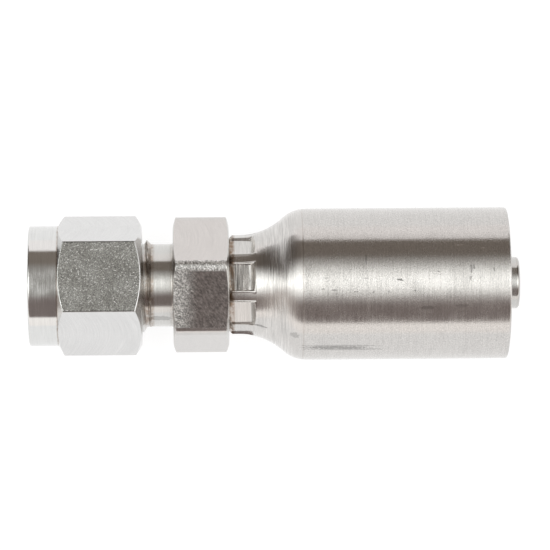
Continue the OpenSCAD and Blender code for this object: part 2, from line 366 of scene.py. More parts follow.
def off_crest(x, angle):
    """Distance along the axis from the nearest crest of the male thread."""
    turns = (x - CREST_X) / THREAD_PITCH + (angle - CREST_ANGLE) / 360
    return abs((turns + 0.5) % 1 - 0.5) * THREAD_PITCH


def male_thread_r(x, angle):
    """Radius of the male thread, with the chamfer at its front and the run-out behind it."""
    half_crest = THREAD_PITCH / 16
    depth = max(off_crest(x, angle) - half_crest, 0) / tan(radians(FLANK_ANGLE))
    front = THREAD_R - THREAD_LEAD + x - body_x
    run_out = THREAD_R - (x - body_x - THREAD_LEN)
    return min(max(THREAD_R - depth, THREAD_ROOT_R), front, run_out)


def female_thread_r(x, angle):
    """Radius of the thread in the nut, with a chamfer at the open end and a relief at the bottom."""
    half_crest = THREAD_PITCH / 8
    off_ridge = THREAD_PITCH / 2 - off_crest(x, angle)
    cut = NUT_THREAD_CREST_R + max(off_ridge - half_crest, 0) / tan(radians(FLANK_ANGLE))
    chamfer = NUT_THREAD_R + THREAD_LEAD + x - nut_end_x
    relief = NUT_THREAD_R - max(x - nut_thread_x - NUT_RELIEF_LEN, 0)
    return max(min(cut, NUT_THREAD_R), chamfer, relief)


def nut_outline(angle):
    """The nut at one angle: face, collar, hexagon, end face, thread, counterbore, seat and guide bore."""
    hex_r = hexagon_r(angle, NUT_TURN, NUT_CORNER_R)
    flats = WORN if off_angle(angle, 0) < HALF_FLAT else FLATS
    end_r = HEX_FLATS / 2 - CHAMFER_INSET
    rise = (hex_r - COLLAR_R) * NUT_CHAMFER_SLOPE
    fall = (hex_r - end_r) * NUT_CHAMFER_SLOPE
    seat_heel_x = nut_x + GUIDE_LEN
    seat_rim_x = seat_heel_x + (COUNTERBORE_R - GUIDE_R) * tan(radians(SEAT_ANGLE))
    return rounded([
        (nut_x + GUIDE_MOUTH, GUIDE_R, EDGE_R, TURNED),
        (nut_x, GUIDE_R + GUIDE_MOUTH, EDGE_R, TURNED),
        (nut_x, COLLAR_R, COLLAR_EDGE_R, POLISHED),
        (nut_hex_x, COLLAR_R, 0, TURNED),
        (nut_hex_x + rise, hex_r, NUT_FRONT_R, flats),
        (nut_end_x - fall, hex_r, HEX_EDGE_R, TURNED),
        (nut_end_x, end_r, EDGE_R, TURNED),
        (nut_end_x, NUT_THREAD_R + THREAD_LEAD, 0, BORE),
        *reversed(helix_rows(nut_thread_x, nut_end_x, angle, female_thread_r, BORE)),
        (nut_thread_x, COUNTERBORE_R, 0, BORE),
        (seat_rim_x, COUNTERBORE_R, 0, BORE),
        (seat_heel_x, GUIDE_R, EDGE_R, BORE)])


def barbed_stem(nose_x, spigot_x):
    """Points of the stem's outside, from the foot of the spigot to the start of the nose."""
    root_r = STEM_R - BARB_DEPTH
    first_barb_x = nose_x - BARB_COUNT * BARB_PITCH
    shoulder_x = first_barb_x - (1 - BARB_SHARE) * BARB_PITCH
    points = [
        (spigot_x + SPIGOT_R - STEM_R, STEM_R, 0, TURNED),
        (shoulder_x, STEM_R, 0, TURNED),
        (shoulder_x, root_r, 0, TURNED)]
    for i in range(BARB_COUNT):
        x = first_barb_x + i * BARB_PITCH
        points.append((x, root_r, 0, TURNED))
        points.append((x, STEM_R, BARB_EDGE_R, TURNED))
        points.append((x + BARB_SHARE * BARB_PITCH, root_r, 0, TURNED))
    points.append((nose_x, root_r, 0, TURNED))
    return points


def body_outline(angle):
    """The body at one angle: mouth, thread, neck, hexagon, spigot, barbs, nose and the passage back."""
    hex_r = hexagon_r(angle, HEX_TURN, HEX_CORNER_R)
    worn_middle = HEX_TURN - 30 + corner_half_angle(HEX_CORNER_R)
    flats = WORN if off_angle(angle, worn_middle) < HALF_FLAT else FLATS
    face_r = HEX_FLATS / 2 - CHAMFER_INSET
    rise = (hex_r - face_r) * HEX_CHAMFER_SLOPE
    run_out_x = body_x + THREAD_LEN + THREAD_R - RELIEF_R
    groove_x = shell_x + GROOVE_SETBACK
    groove_end_x = shell_x + STAKE_LEN
    spigot_x = shell_x + SPIGOT_LEN
    nose_x = stem_end_x - STEM_NOSE_LEN
    socket_x = body_x + (MOUTH_R - BORE_R) / tan(radians(MOUTH_ANGLE))
    return rounded([
        (body_x, MOUTH_R, FINE_R, TURNED),
        *helix_rows(body_x, run_out_x, angle, male_thread_r, TURNED),
        (run_out_x, RELIEF_R, 0, TURNED),
        (hex_x, RELIEF_R, NECK_FILLET_R, TURNED),
        (hex_x, face_r, EDGE_R, TURNED),
        (hex_x + rise, hex_r, HEX_EDGE_R, flats),
        (shell_x - rise, hex_r, HEX_EDGE_R, TURNED),
        (shell_x, face_r, EDGE_R, TURNED),
        (shell_x, SPIGOT_R, 0, TURNED),
        (groove_x, SPIGOT_R, 0, TURNED),
        (groove_x, GROOVE_R, 0, TURNED),
        (groove_end_x, GROOVE_R, 0, TURNED),
        (groove_end_x, SPIGOT_R, 0, TURNED),
        (spigot_x, SPIGOT_R, FINE_R, TURNED),
        *barbed_stem(nose_x, spigot_x),
        (nose_x, STEM_R, FINE_R, TURNED),
        (stem_end_x, STEM_R, STEM_EDGE_R, POLISHED),
        (stem_end_x, STEM_BORE_R + STEM_BORE_CHAMFER, FINE_R, BORE),
        (stem_end_x - STEM_BORE_CHAMFER, STEM_BORE_R, FINE_R, BORE),
        (shell_x + FLOW_R - STEM_BORE_R, STEM_BORE_R, 0, BORE),
        (shell_x, FLOW_R, 0, BORE),
        (0, FLOW_R, 0, BORE),
        (0, BORE_R, 0, BORE),
        (socket_x, BORE_R, FINE_R, BORE)])


def shell_r(x):
    """Radius of the shell's outside: collar, hollow curve, round curve and barrel."""
    hollow_r = FLARE_HOLLOW_SHARE * flare_sum_r
    round_r = flare_sum_r - hollow_r
    turn_x = flare_x + hollow_r * sin(radians(FLARE_ANGLE))
    if x <= flare_x:
        return NECK_R
    if x <= turn_x:
        return NECK_R + hollow_r - sqrt(hollow_r ** 2 - (x - flare_x) ** 2)
    rest = flare_end_x - min(x, TOOL_LINE_X)
    r = SHELL_R - round_r + sqrt(round_r ** 2 - rest ** 2)
    eased = max(1 - max(x - TOOL_LINE_X, 0) / TOOL_LINE_EASE, 0)
    groove = TOOL_LINE_DEPTH * max(1 - abs(x - TOOL_LINE_X) / TOOL_LINE_HALF_W, 0)
    return SHELL_R - (SHELL_R - r) * eased ** 2 - groove


def off_pocket(angle):
    """Angle from the middle of the nearest staked pocket."""
    pitch = 360 / STAKE_COUNT
    return abs((angle + pitch / 2) % pitch - pitch / 2)


def staked_r(x, angle, r):
    """Radius of the shell's outside where a flat-bottomed pocket may cut it, with the rim it pushed up."""
    delta = radians(off_pocket(angle))
    floor = NECK_R - STAKE_DEPTH
    floor_half_w = STAKE_W / 2 - STAKE_SIDE_SLOPE * STAKE_DEPTH
    side_r = (STAKE_SIDE_SLOPE * floor - floor_half_w) / (STAKE_SIDE_SLOPE * cos(delta) - sin(delta))
    end_x = shell_x + STAKE_LEN + STAKE_END_SLOPE * STAKE_DEPTH
    ramp = floor + STAKE_DEPTH * (max(x - end_x + STAKE_RAMP, 0) / STAKE_RAMP) ** 2
    walled_r = smooth_max(floor / cos(delta), side_r, STAKE_FOOT_BLEND)
    pocket_r = smooth_max(walled_r, ramp / cos(delta), STAKE_RAMP_BLEND)
    off_side = r * sin(delta) - floor_half_w - STAKE_SIDE_SLOPE * (r * cos(delta) - floor)
    off_edge = smooth_max(off_side, x - end_x, STAKE_CORNER_BLEND)
    rim = STAKE_RIM * max(1 - (off_edge / STAKE_RIM_REACH - 1) ** 2, 0)
    return smooth_min(r + rim, pocket_r, STAKE_RIM_BLEND)


# Rows of the shell, as stretches past its start (from, to, steps), which are closest at the ends of the
# pockets, and how far its last rows lie from the tool line
SHELL_STRETCHES = [
    (0.5, 2.3, 6),
    (2.4, 3.6, 22),
    (3.8, TOOL_LINE_X - 0.3 - shell_x, 24)]
TOOL_LINE_ROWS = (-0.15, -0.1, -0.05, -0.02, 0, 0.02, 0.05, 0.1, 0.2, 0.5, 0.8, 1.2)
# The narrow strip of the shell's end face beside its bore
BORE_STRIP = 0.05
# Columns of the shell, as stretches of angle from the middle of a pocket (from, to, steps): the pocket's
# floor, the side of the bump inside it, its own side, its rim, and the metal between it and the next one
POCKET_STRETCHES = [
    (0, 10, 3),
    (12, 14.4, 4),
    (14.7, 16.1, 14),
    (16.3, 18.3, 8),
    (20, 22.5, 1)]


def shell_rows():
    """Stations and radii of the shell's outside, from its bore to the start of the barrel."""
    face_r = NECK_R - NECK_CHAMFER
    rows = [(shell_x, SHELL_BORE_R + BORE_STRIP), (shell_x, face_r - SUPPORT)]
    rows += [(shell_x + rise, face_r + rise) for rise in steps(0, NECK_CHAMFER, 3)]
    xs = []
    for start, end, count in SHELL_STRETCHES:
        xs += steps(shell_x + start, shell_x + end, count)
    xs += [TOOL_LINE_X + offset for offset in TOOL_LINE_ROWS]
    return rows + [(x, shell_r(x)) for x in xs]


def staked_collar(angle):
    """Points of the shell's outside up to the barrel, with the pockets that are punched in it."""
    pressed = SCORED if off_angle(angle, 0) < SCORED_ANGLE else STAMPED
    points = []
    for x, r in shell_rows():
        cut_r = staked_r(x, angle, r)
        finish = POLISHED if x < TOOL_LINE_X else TURNED
        if cut_r < r - PRESSED_DEPTH:
            finish = pressed
        points.append((x, cut_r, 0, finish))
    return points


def hose_ridges():
    """Points of the saw-toothed ridges inside the shell, from its mouth inwards."""
    crest_r = HOSE_R - RIDGE_H
    points = []
    for i in range(RIDGE_COUNT):
        x = shell_end_x - RIDGE_SETBACK - i * RIDGE_PITCH
        points.append((x + RIDGE_SLOPE_END * RIDGE_H, HOSE_R, 0, BORE))
        points.append((x + RIDGE_CREST_END * RIDGE_H, crest_r, 0, BORE))
        points.append((x + RIDGE_CREST_START * RIDGE_H, crest_r, 0, BORE))
        points.append((x, HOSE_R, 0, BORE))
    return points


def inner_bump(angle):
    """Points of the bump inside the collar, which is flush with its bore away from a pocket."""
    bump_x = shell_x + GROOVE_SETBACK + BUMP_GAP
    bump_end_x = shell_x + STAKE_LEN - BUMP_GAP
    half_angle = degrees(asin(BUMP_W_SHARE * STAKE_W / 2 / SHELL_BORE_R))
    inside = min(max(half_angle + BUMP_EASE - off_pocket(angle), 0), 1)
    bump_r = SHELL_BORE_R - STAKE_BUMP * inside
    return [
        (bump_end_x, SHELL_BORE_R, 0, BORE),
        (bump_end_x, bump_r, 0, BORE),
        (bump_x, bump_r, 0, BORE),
        (bump_x, SHELL_BORE_R, 0, BORE)]


def shell_outline(angle):
    """The shell at one angle: collar with its pockets, flare, barrel, mouth, ridges, cone and bumps."""
    return rounded([
        *staked_collar(angle),
        (shell_end_x, SHELL_R, SHELL_EDGE_R, TURNED),
        (shell_end_x, HOSE_R + HOSE_MOUTH, FINE_R, BORE),
        (shell_end_x - HOSE_MOUTH, HOSE_R, FINE_R, BORE),
        *hose_ridges(),
        (flare_end_x, HOSE_R, 0, BORE),
        (shell_x + SPIGOT_LEN, SHELL_BORE_R, 0, BORE),
        *inner_bump(angle),
        (shell_x, SHELL_BORE_R, 0, BORE)])


def shell_columns():
    """Columns for the shell, close together on the side walls of the pockets and of their inner bumps."""
    offsets = []
    for start, end, count in POCKET_STRETCHES:
        offsets += steps(start, end, count)
    angles = []
    for k in range(STAKE_COUNT):
        for side in (-1, 1):
            angles += [k * 360 / STAKE_COUNT + side * offset for offset in offsets]
    return full_turn(angles)


# Numbers that every finish shares. Rates are how many to a millimetre, and depths are in micrometres.
# Noise lies mostly between the two values of its spread
SPREAD = (0.3, 0.7)
PATCH_SPREAD = (0.35, 0.65)
BLOTCH_SPREAD = (0.35, 0.6)
# How fast the noise in rings changes round the axis, against along it in the noise's own scale
RING_DRIFT = 0.3
# Broad patches: rate, how much they change the tint, and how much they and the rings change the roughness
PATCH_RATE = 0.45
PATCH_TONE = 0.02
GLOSS_CHANGE = 0.03
# Painted brown shade for corners and creases, as a multiplier of the steel's tint, and its blotches
PAINTED_SHADE_BROWN = (0.42, 0.31, 0.23)
BLOTCH_RATE = 1.6
THIN_PAINTED_SHADE = 0.35
# Where it is worn: how much deeper the grain is, how much more it shows, how much lighter and rougher the
# steel is, how much the edge of the worn part wanders, and over what distance it starts at a corner
WORN_DEPTH = 20.0
WORN_SPECKLE = 0.6
WORN_LIGHTER = 0.06
WORN_ROUGHER = 0.24
WORN_WANDER = 0.4
WORN_CORNER_EASE = 0.1
# Wear and coarse rings are whole up to the first share of their reach, and bands of painted shade up to
# the second share of their half width
FADE_START = 0.2
PAINTED_SHADE_CORE = 0.4
# Coarse rings: rate, depth, and how much they change the tint
COARSE_RATE = 3.2
COARSE_DEPTH = 9.0
COARSE_TONE = 0.16
# Pits with painted glints: rate of the noise behind them, its values at their rim and in them, and their
# height
GLINT_RATE = 5.0
GLINT_SPREAD = (0.7, 0.76)
GLINT_HEIGHT = 45.0
# Turn, as a share of a whole one, that makes a blurred reflection run along the axis
BLUR_TURN = 0.25
# Slant and size of the fine scratches on a worn flat
SCRATCH_ANGLE = 40
SCRATCH_SIZE = (0.22, 0.6, 0.22)
# How uneven the rim of a mark is, and where its tone starts and is full, as squares of the distance
MARK_RATE = 4.0
MARK_WOBBLE = 0.6
MARK_RIM = (1.3, 0.5)
# How uneven the broken line of painted shade along an edge is
EDGE_WANDER = 0.03


def add(tree, kind, inputs=None, **settings):
    """Adds a node, with its settings and with its inputs set to values or linked to sockets."""
    made = tree.nodes.new(kind)
    for key, value in settings.items():
        setattr(made, key, value)
    for key, value in (inputs or {}).items():
        if isinstance(value, bpy.types.NodeSocket):
            tree.links.new(value, made.inputs[key])
        else:
            made.inputs[key].default_value = value
    return made


def maths(tree, operation, a, b=0.0):
    """The result of one arithmetic step."""
    return add(tree, "ShaderNodeMath", {0: a, 1: b}, operation=operation).outputs[0]


def total(tree, base, *terms):
    """The base, plus the value of each term times its weight."""
    for value, weight in terms:
        base = maths(tree, "ADD", maths(tree, "MULTIPLY", value, weight), base)
    return base


def remap(tree, value, from_range, to_range, curve="LINEAR"):
    """Maps one range to another, and holds the ends."""
    inputs = {
        "Value": value,
        "From Min": from_range[0],
        "From Max": from_range[1],
        "To Min": to_range[0],
        "To Max": to_range[1]}
    return add(tree, "ShaderNodeMapRange", inputs, interpolation_type=curve).outputs["Result"]


def eased(tree, value, none, full):
    """Goes smoothly from 0 at one value to 1 at another, which may be the smaller one, and holds the ends."""
    return remap(tree, value, (none, full), (0.0, 1.0), "SMOOTHSTEP")


def noise(tree, vector, rate, detail, rough=0.5):
    """Noise at a place."""
    inputs = {"Vector": vector, "Scale": rate, "Detail": detail, "Roughness": rough}
    return add(tree, "ShaderNodeTexNoise", inputs).outputs["Fac"]


def joined(tree, x, y, z):
    """A vector made of three values."""
    return add(tree, "ShaderNodeCombineXYZ", {"X": x, "Y": y, "Z": z}).outputs["Vector"]


def scaled(tree, colour, tone):
    """The colour, made lighter or darker by a tone."""
    return add(tree, "ShaderNodeVectorMath", {0: colour, "Scale": tone}, operation="SCALE").outputs["Vector"]


def painted(tree, colour, paint, share):
    """The colour, multiplied by a paint where the share is 1."""
    # The sockets of a Mix node share names, so they are counted: 4 and 5 are for vectors, 6 and 7 for colours
    clear = (1.0, 1.0, 1.0)
    thinned = add(tree, "ShaderNodeMix", {0: share, 4: clear, 5: paint}, data_type="VECTOR").outputs[1]
    return add(tree, "ShaderNodeVectorMath", {0: colour, 1: thinned}, operation="MULTIPLY").outputs["Vector"]


def mixed(tree, outside, inside, share):
    """The outside colour where the share is 0, and the inside one where it is 1."""
    return add(tree, "ShaderNodeMix", {0: share, 6: outside, 7: inside}, data_type="RGBA").outputs[2]


def off_station(tree, parts, x):
    """Distance along the axis from a station."""
    return maths(tree, "ABSOLUTE", maths(tree, "SUBTRACT", parts["X"], x))


def ring_noise(tree, parts, along, rate, detail):
    """Noise in rings round the axis, which drifts a little on its way round."""
    place = joined(
        tree,
        maths(tree, "MULTIPLY", along, rate),
        maths(tree, "MULTIPLY", parts["Y"], RING_DRIFT),
        maths(tree, "MULTIPLY", parts["Z"], RING_DRIFT))
    return noise(tree, place, 1.0, detail, rough=0.6)


def coarse_rings(tree, parts, along, x, reach):
    """Coarser rings, from -1 to 1, that fade out at a distance called reach from the station x."""
    wide = remap(tree, ring_noise(tree, parts, along, COARSE_RATE, detail=2.0), SPREAD, (-1.0, 1.0))
    near = eased(tree, off_station(tree, parts, x), reach, FADE_START * reach)
    return maths(tree, "MULTIPLY", wide, near)


def wear_share(tree, parts, radius, patches, x, reach, corner_r):
    """1 where it is worn, which is near the end x for a reach, and beyond a radius on the side of +Y."""
    station = total(tree, parts["X"], (patches, WORN_WANDER))
    near_end = eased(tree, station, x + reach, x + FADE_START * reach)
    on_corner = eased(tree, radius, corner_r - WORN_CORNER_EASE, corner_r)
    on_side = maths(tree, "GREATER_THAN", parts["Y"], 0.0)
    return maths(tree, "MAXIMUM", near_end, maths(tree, "MULTIPLY", on_corner, on_side))


def scratches(tree, place, strength):
    """The tone of fine slanted scratches."""
    slanted = add(tree, "ShaderNodeMapping", {
        "Vector": place,
        "Rotation": (0, 0, radians(SCRATCH_ANGLE)),
        "Scale": SCRATCH_SIZE}, vector_type="TEXTURE").outputs["Vector"]
    lines = noise(tree, slanted, 1.0, detail=2.0, rough=0.6)
    return remap(tree, lines, SPREAD, (1.0 - strength, 1.0 + strength))


def with_painted_edge_shade(tree, colour, radius, grain, edge_r, tone):
    """The colour, with a tone of painted shade beyond a radius and a broken line between the two."""
    broken = remap(tree, grain, SPREAD, (edge_r - EDGE_WANDER, edge_r + EDGE_WANDER))
    return painted(tree, colour, (tone, tone, tone), maths(tree, "GREATER_THAN", radius, broken))


def with_painted_shades(tree, colour, place, parts, painted_shades):
    """The colour, with blotchy bands of painted brown shade round the axis, in corners and creases."""
    blotches = noise(tree, place, BLOTCH_RATE, detail=3.0, rough=0.65)
    blotches = remap(tree, blotches, BLOTCH_SPREAD, (THIN_PAINTED_SHADE, 1.0))
    for x, half_width, strength in painted_shades:
        off = off_station(tree, parts, x)
        band = remap(tree, off, (PAINTED_SHADE_CORE * half_width, half_width), (strength, 0.0), "SMOOTHSTEP")
        colour = painted(tree, colour, PAINTED_SHADE_BROWN, maths(tree, "MULTIPLY", band, blotches))
    return colour


def with_marks_and_painted_light(tree, colour, place, parts, marks_and_painted_light):
    """The colour, with ovals that have uneven rims: marks, and painted light where the list holds it."""
    around = maths(tree, "MULTIPLY", maths(tree, "ARCTAN2", parts["Y"], parts["Z"]), degrees(1))
    wobble = remap(tree, noise(tree, place, MARK_RATE, detail=2.0), SPREAD, (-MARK_WOBBLE, MARK_WOBBLE))
    for x, angle, half_length, half_turn, tone in marks_and_painted_light:
        along = maths(tree, "DIVIDE", maths(tree, "SUBTRACT", parts["X"], x), half_length)
        turned = maths(tree, "DIVIDE", maths(tree, "SUBTRACT", around, angle), half_turn)
        square = total(tree, wobble, (along, along), (turned, turned))
        share = eased(tree, square, *MARK_RIM)
        colour = painted(tree, colour, (tone, tone, tone), share)
    return colour


def metal(tree, colour, gloss, height, blur):
    """The shader of a metal. The height of its bumps is in micrometres, and blur is as for steel."""
    bump = add(tree, "ShaderNodeBump", {"Height": height, "Distance": MM * MM, "Strength": 1.0})
    inputs = {
        "Base Color": colour,
        "Metallic": 1.0,
        "Roughness": gloss,
        "Normal": bump.outputs["Normal"],
        "Anisotropic": blur}
    if blur:
        inputs["Anisotropic Rotation"] = BLUR_TURN
        tangent = add(tree, "ShaderNodeTangent", direction_type="RADIAL", axis="X")
        inputs["Tangent"] = tangent.outputs["Tangent"]
    shader = add(tree, "ShaderNodeBsdfPrincipled", inputs)
    add(tree, "ShaderNodeOutputMaterial", {"Surface": shader.outputs["BSDF"]})


def steel(name, tint, roughness, grain_depth, ring_depth=0.0, blur=0.0, grain_rate=7.0, speckle=0.0,
          lines=0.05, ring_rate=9.0, ring_slope=1.3, coarse=None, mottle=0.0, glints=0.0, edge=None,
          worn=None, painted_shades=(), marks_and_painted_light=()):
    """Stainless steel with turned rings and grain.

    grain_depth, ring_depth: in micrometres
    blur: how much the rings smear a reflection along the axis, from 0 to 1
    ring_rate, grain_rate: how many there are to a millimetre
    ring_slope: how fast rings follow one another outwards on a face, against along the axis
    lines, speckle: how much the rings and the grain change the tint
    coarse: (x, reach) of coarser rings round a station
    mottle, glints: strength of slanted scratches, and how much lighter the pits are painted, as painted
    glints
    edge: (radius, tone) of painted shade along an edge, whose tone multiplies the tint beyond the radius
    worn: (x, reach, radius) of the worn end and of the corner
    painted_shades: bands of painted brown shade in corners and creases (x, half width, strength)
    marks_and_painted_light: ovals (x, angle, half length, half turn, tone) whose tone multiplies the tint
    """
    material = bpy.data.materials.new(name)
    material.use_nodes = True
    tree = material.node_tree
    tree.nodes.clear()
    place = add(tree, "ShaderNodeMapping", {
        "Vector": add(tree, "ShaderNodeTexCoord").outputs["Object"],
        "Scale": (1 / MM, 1 / MM, 1 / MM)}).outputs["Vector"]
    parts = add(tree, "ShaderNodeSeparateXYZ", {"Vector": place}).outputs
    across = joined(tree, 0.0, parts["Y"], parts["Z"])
    radius = add(tree, "ShaderNodeVectorMath", {0: across}, operation="LENGTH").outputs["Value"]
    along = total(tree, parts["X"], (radius, ring_slope))
    rings = ring_noise(tree, parts, along, ring_rate, detail=3.0)
    grain = noise(tree, place, grain_rate, detail=2.0, rough=0.6)
    ring_share = remap(tree, rings, SPREAD, (-1.0, 1.0))
    grain_share = remap(tree, grain, SPREAD, (-1.0, 1.0))
    patches = remap(tree, noise(tree, place, PATCH_RATE, detail=2.0), PATCH_SPREAD, (-1.0, 1.0))

    shade = total(tree, 1.0, (ring_share, lines), (patches, PATCH_TONE))
    gloss = total(tree, roughness, (ring_share, GLOSS_CHANGE), (patches, GLOSS_CHANGE))
    if worn:
        wear = wear_share(tree, parts, radius, patches, *worn)
        speckle = total(tree, speckle, (wear, WORN_SPECKLE))
        grain_depth = total(tree, grain_depth, (wear, WORN_DEPTH))
        shade = total(tree, shade, (wear, WORN_LIGHTER))
        gloss = total(tree, gloss, (wear, WORN_ROUGHER))
    colour = scaled(tree, tint, total(tree, shade, (grain_share, speckle)))
    height = total(tree, maths(tree, "MULTIPLY", rings, ring_depth), (grain, grain_depth))
    if mottle:
        colour = scaled(tree, colour, scratches(tree, place, mottle))
    if coarse:
        chatter = coarse_rings(tree, parts, along, *coarse)
        colour = scaled(tree, colour, total(tree, 1.0, (chatter, COARSE_TONE)))
        height = total(tree, height, (chatter, COARSE_DEPTH))
    # Pits, with bumps and with painted glints that make them lighter
    if glints:
        pits_and_glints = remap(tree, noise(tree, place, GLINT_RATE, detail=0.0), GLINT_SPREAD, (0.0, 1.0))
        colour = scaled(tree, colour, total(tree, 1.0, (pits_and_glints, glints)))
        height = total(tree, height, (pits_and_glints, GLINT_HEIGHT))
    # A line of painted shade along the edges of a flat
    if edge:
        colour = with_painted_edge_shade(tree, colour, radius, grain, *edge)
    # Bands of painted brown shade in corners, creases and where parts meet
    if painted_shades:
        colour = with_painted_shades(tree, colour, place, parts, painted_shades)
    if marks_and_painted_light:
        colour = with_marks_and_painted_light(tree, colour, place, parts, marks_and_painted_light)
    metal(tree, colour, gloss, height, blur)
    return material


# Bands of painted brown shade at the neck's two ends, next to the nut and next to the hexagon
BODY_PAINTED_SHADES = [
    (-1.2, 0.75, 0.75),
    (hex_x, 0.45, 0.3)]
# A band of painted brown shade in the crease between the nut's collar and its hexagon's chamfer
NUT_PAINTED_SHADES = [(nut_hex_x, 0.14, 0.6)]
# Bands of painted brown shade: where the collar meets the body's hexagon, and in the groove of the tool line
SHELL_PAINTED_SHADES = [
    (shell_x + 0.15, 0.65, 1.0),
    (TOOL_LINE_X, 0.09, 0.25)]
BODY_MARKS = [(0.1, -61, 1.4, 5, 0.72)]
# Scuffs, pits and scratches on the shell, among which are a painted dark reflection and painted highlights
SHELL_MARKS_AND_PAINTED_LIGHT = [
    # A painted dark reflection: long dark streaks low on the barrel
    (20.6, -62.8, 4.4, 1.4, 0.74),
    (20.4, -65.0, 3.8, 1.5, 0.6),
    (21.4, -67.4, 4.4, 1.5, 0.72),
    (11.7, -59.0, 0.7, 1.8, 0.6),
    (15.6, -52.0, 0.5, 3.0, 0.75),
    (27.6, -5.6, 0.3, 0.7, 0.35),
    (27.9, -6.4, 0.2, 0.3, 0.2),
    (35.9, 2.0, 0.12, 4.5, 0.55),
    (36.2, 3.2, 0.12, 2.4, 0.5),
    (35.8, -5.0, 0.1, 2.4, 0.6),
    (20.2, -13.2, 0.4, 0.5, 0.62),
    (22.6, -14.6, 0.22, 0.6, 0.66),
    (18.8, -12.4, 0.2, 0.5, 0.62),
    (24.6, -15.0, 0.12, 0.8, 0.66),
    (19.2, -4.2, 0.35, 0.5, 0.78),
    (23.8, -4.6, 0.25, 0.6, 0.74),
    (26.4, -15.0, 0.12, 1.1, 0.66),
    (29.4, -14.1, 0.12, 0.6, 0.55),
    (32.1, 0.2, 0.12, 0.5, 0.5),
    (38.5, 1.5, 0.08, 1.3, 0.5),
    (23.8, 10.3, 0.1, 3.6, 0.7),
    (30.9, -27.0, 0.9, 1.6, 0.72),
    (34.8, -25.5, 0.8, 1.3, 0.78),
    # Scratches painted lighter, as painted highlights
    (34.6, 21.0, 0.5, 0.35, 1.5),
    (37.3, 18.4, 0.3, 0.35, 1.5)]

NUT_TINT = (0.75, 0.745, 0.74)
SHELL_TINT = (0.66, 0.64, 0.62)
nut_turned = steel(
    "nut_turned", NUT_TINT, roughness=0.2, grain_depth=0.6, ring_depth=1.2, blur=0.8, painted_shades=NUT_PAINTED_SHADES)
nut_flats = steel(
    "nut_drawn_flats", NUT_TINT, roughness=0.2, grain_depth=8.0, grain_rate=6.0, speckle=0.02)
# Its flat has painted glints on the pits and a line of painted shade along its edges
nut_worn = steel(
    "nut_pitted_flat_painted_glints_and_edge_shade", (0.67, 0.68, 0.66), roughness=0.15, grain_depth=6.5, grain_rate=10.0, speckle=0.52,
    glints=0.35, edge=(8.17, 0.55))
nut_polished = steel(
    "nut_polished_collar", (0.75, 0.75, 0.74), roughness=0.13, grain_depth=0.8, ring_depth=0.8, blur=0.95,
    painted_shades=NUT_PAINTED_SHADES)
body_turned = steel(
    "body_turned", (0.68, 0.67, 0.65), roughness=0.225, grain_depth=2.0, ring_depth=2.5, blur=1.0,
    painted_shades=BODY_PAINTED_SHADES, marks_and_painted_light=BODY_MARKS)
body_flats = steel(
    "body_drawn_flats", (0.66, 0.64, 0.625), roughness=0.2, grain_depth=8.0, grain_rate=6.0, speckle=0.03)
body_worn = steel(
    "body_worn_flat", (0.58, 0.57, 0.555), roughness=0.15, grain_depth=5.0, grain_rate=6.5, speckle=0.16,
    mottle=0.42, worn=(hex_x, 3.2, 7.9))
# The stem's rounded end and end face, with a darker tint as painted shade
body_edge_with_painted_shade = steel(
    "body_polished_edge_painted_shade", (0.57, 0.555, 0.535), roughness=0.12, grain_depth=1.0, ring_depth=1.5, blur=0.95)
shell_stamped = steel(
    "shell_stamped", SHELL_TINT, roughness=0.22, grain_depth=3.0, ring_depth=5.0, lines=0.1, ring_rate=6.0,
    ring_slope=0.0, painted_shades=SHELL_PAINTED_SHADES)
shell_scored = steel(
    "shell_scored", SHELL_TINT, roughness=0.2, grain_depth=3.0, ring_depth=14.0, lines=0.6, ring_rate=6.0,
    ring_slope=0.0, painted_shades=SHELL_PAINTED_SHADES)
shell_turned = steel(
    "shell_turned", SHELL_TINT, roughness=0.25, grain_depth=6.0, ring_depth=6.5, blur=1.0, speckle=0.15,
    lines=0.07, painted_shades=SHELL_PAINTED_SHADES, marks_and_painted_light=SHELL_MARKS_AND_PAINTED_LIGHT)
shell_flare = steel(
    "shell_turned_flare", (0.67, 0.65, 0.63), roughness=0.22, grain_depth=2.5, ring_depth=5.5, blur=1.0,
    speckle=0.06, lines=0.07, coarse=(13.7, 2.6), painted_shades=SHELL_PAINTED_SHADES, marks_and_painted_light=SHELL_MARKS_AND_PAINTED_LIGHT)
bored = steel("bored_steel", (0.64, 0.63, 0.61), roughness=0.3, grain_depth=0.5, ring_depth=2.0, blur=0.6)
ferrule = steel("ferrule_turned", (0.7, 0.69, 0.68), roughness=0.2, grain_depth=0.3, ring_depth=1.0, blur=0.6)


def dress(piece, body, node):
    """Puts a piece on the body that it rides on, and hides the CAD node that it stands for."""
    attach(piece, body)
    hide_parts(node)


nut = lathe("nut_dressed", hexagon_columns(NUT_TURN, NUT_CORNER_R, 4, 16), nut_outline, {
    TURNED: nut_turned,
    FLATS: nut_flats,
    POLISHED: nut_polished,
    BORE: bored,
    WORN: nut_worn})
dress(nut, "nut", "compression_nut")
body = lathe("body_dressed", hexagon_columns(HEX_TURN, HEX_CORNER_R, 8, 14), body_outline, {
    TURNED: body_turned,
    FLATS: body_flats,
    POLISHED: body_edge_with_painted_shade,
    BORE: bored,
    WORN: body_worn})
dress(body, "fitting", "fitting_body")
shell = lathe("shell_dressed", shell_columns(), shell_outline, {
    TURNED: shell_turned,
    POLISHED: shell_flare,
    BORE: bored,
    STAMPED: shell_stamped,
    SCORED: shell_scored})
dress(shell, "fitting", "hose_shell")
for node in ("front_ferrule", "back_ferrule"):
    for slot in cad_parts[node].material_slots:
        slot.material = ferrule

# The camera looks down on the part, a little from the side, as the photograph does
CAMERA_TILT = 8.8
CAMERA_YAW = 1.2
CAMERA_ROLL = 0.43
CAMERA_DISTANCE = 440
CAMERA_SENSOR = 36
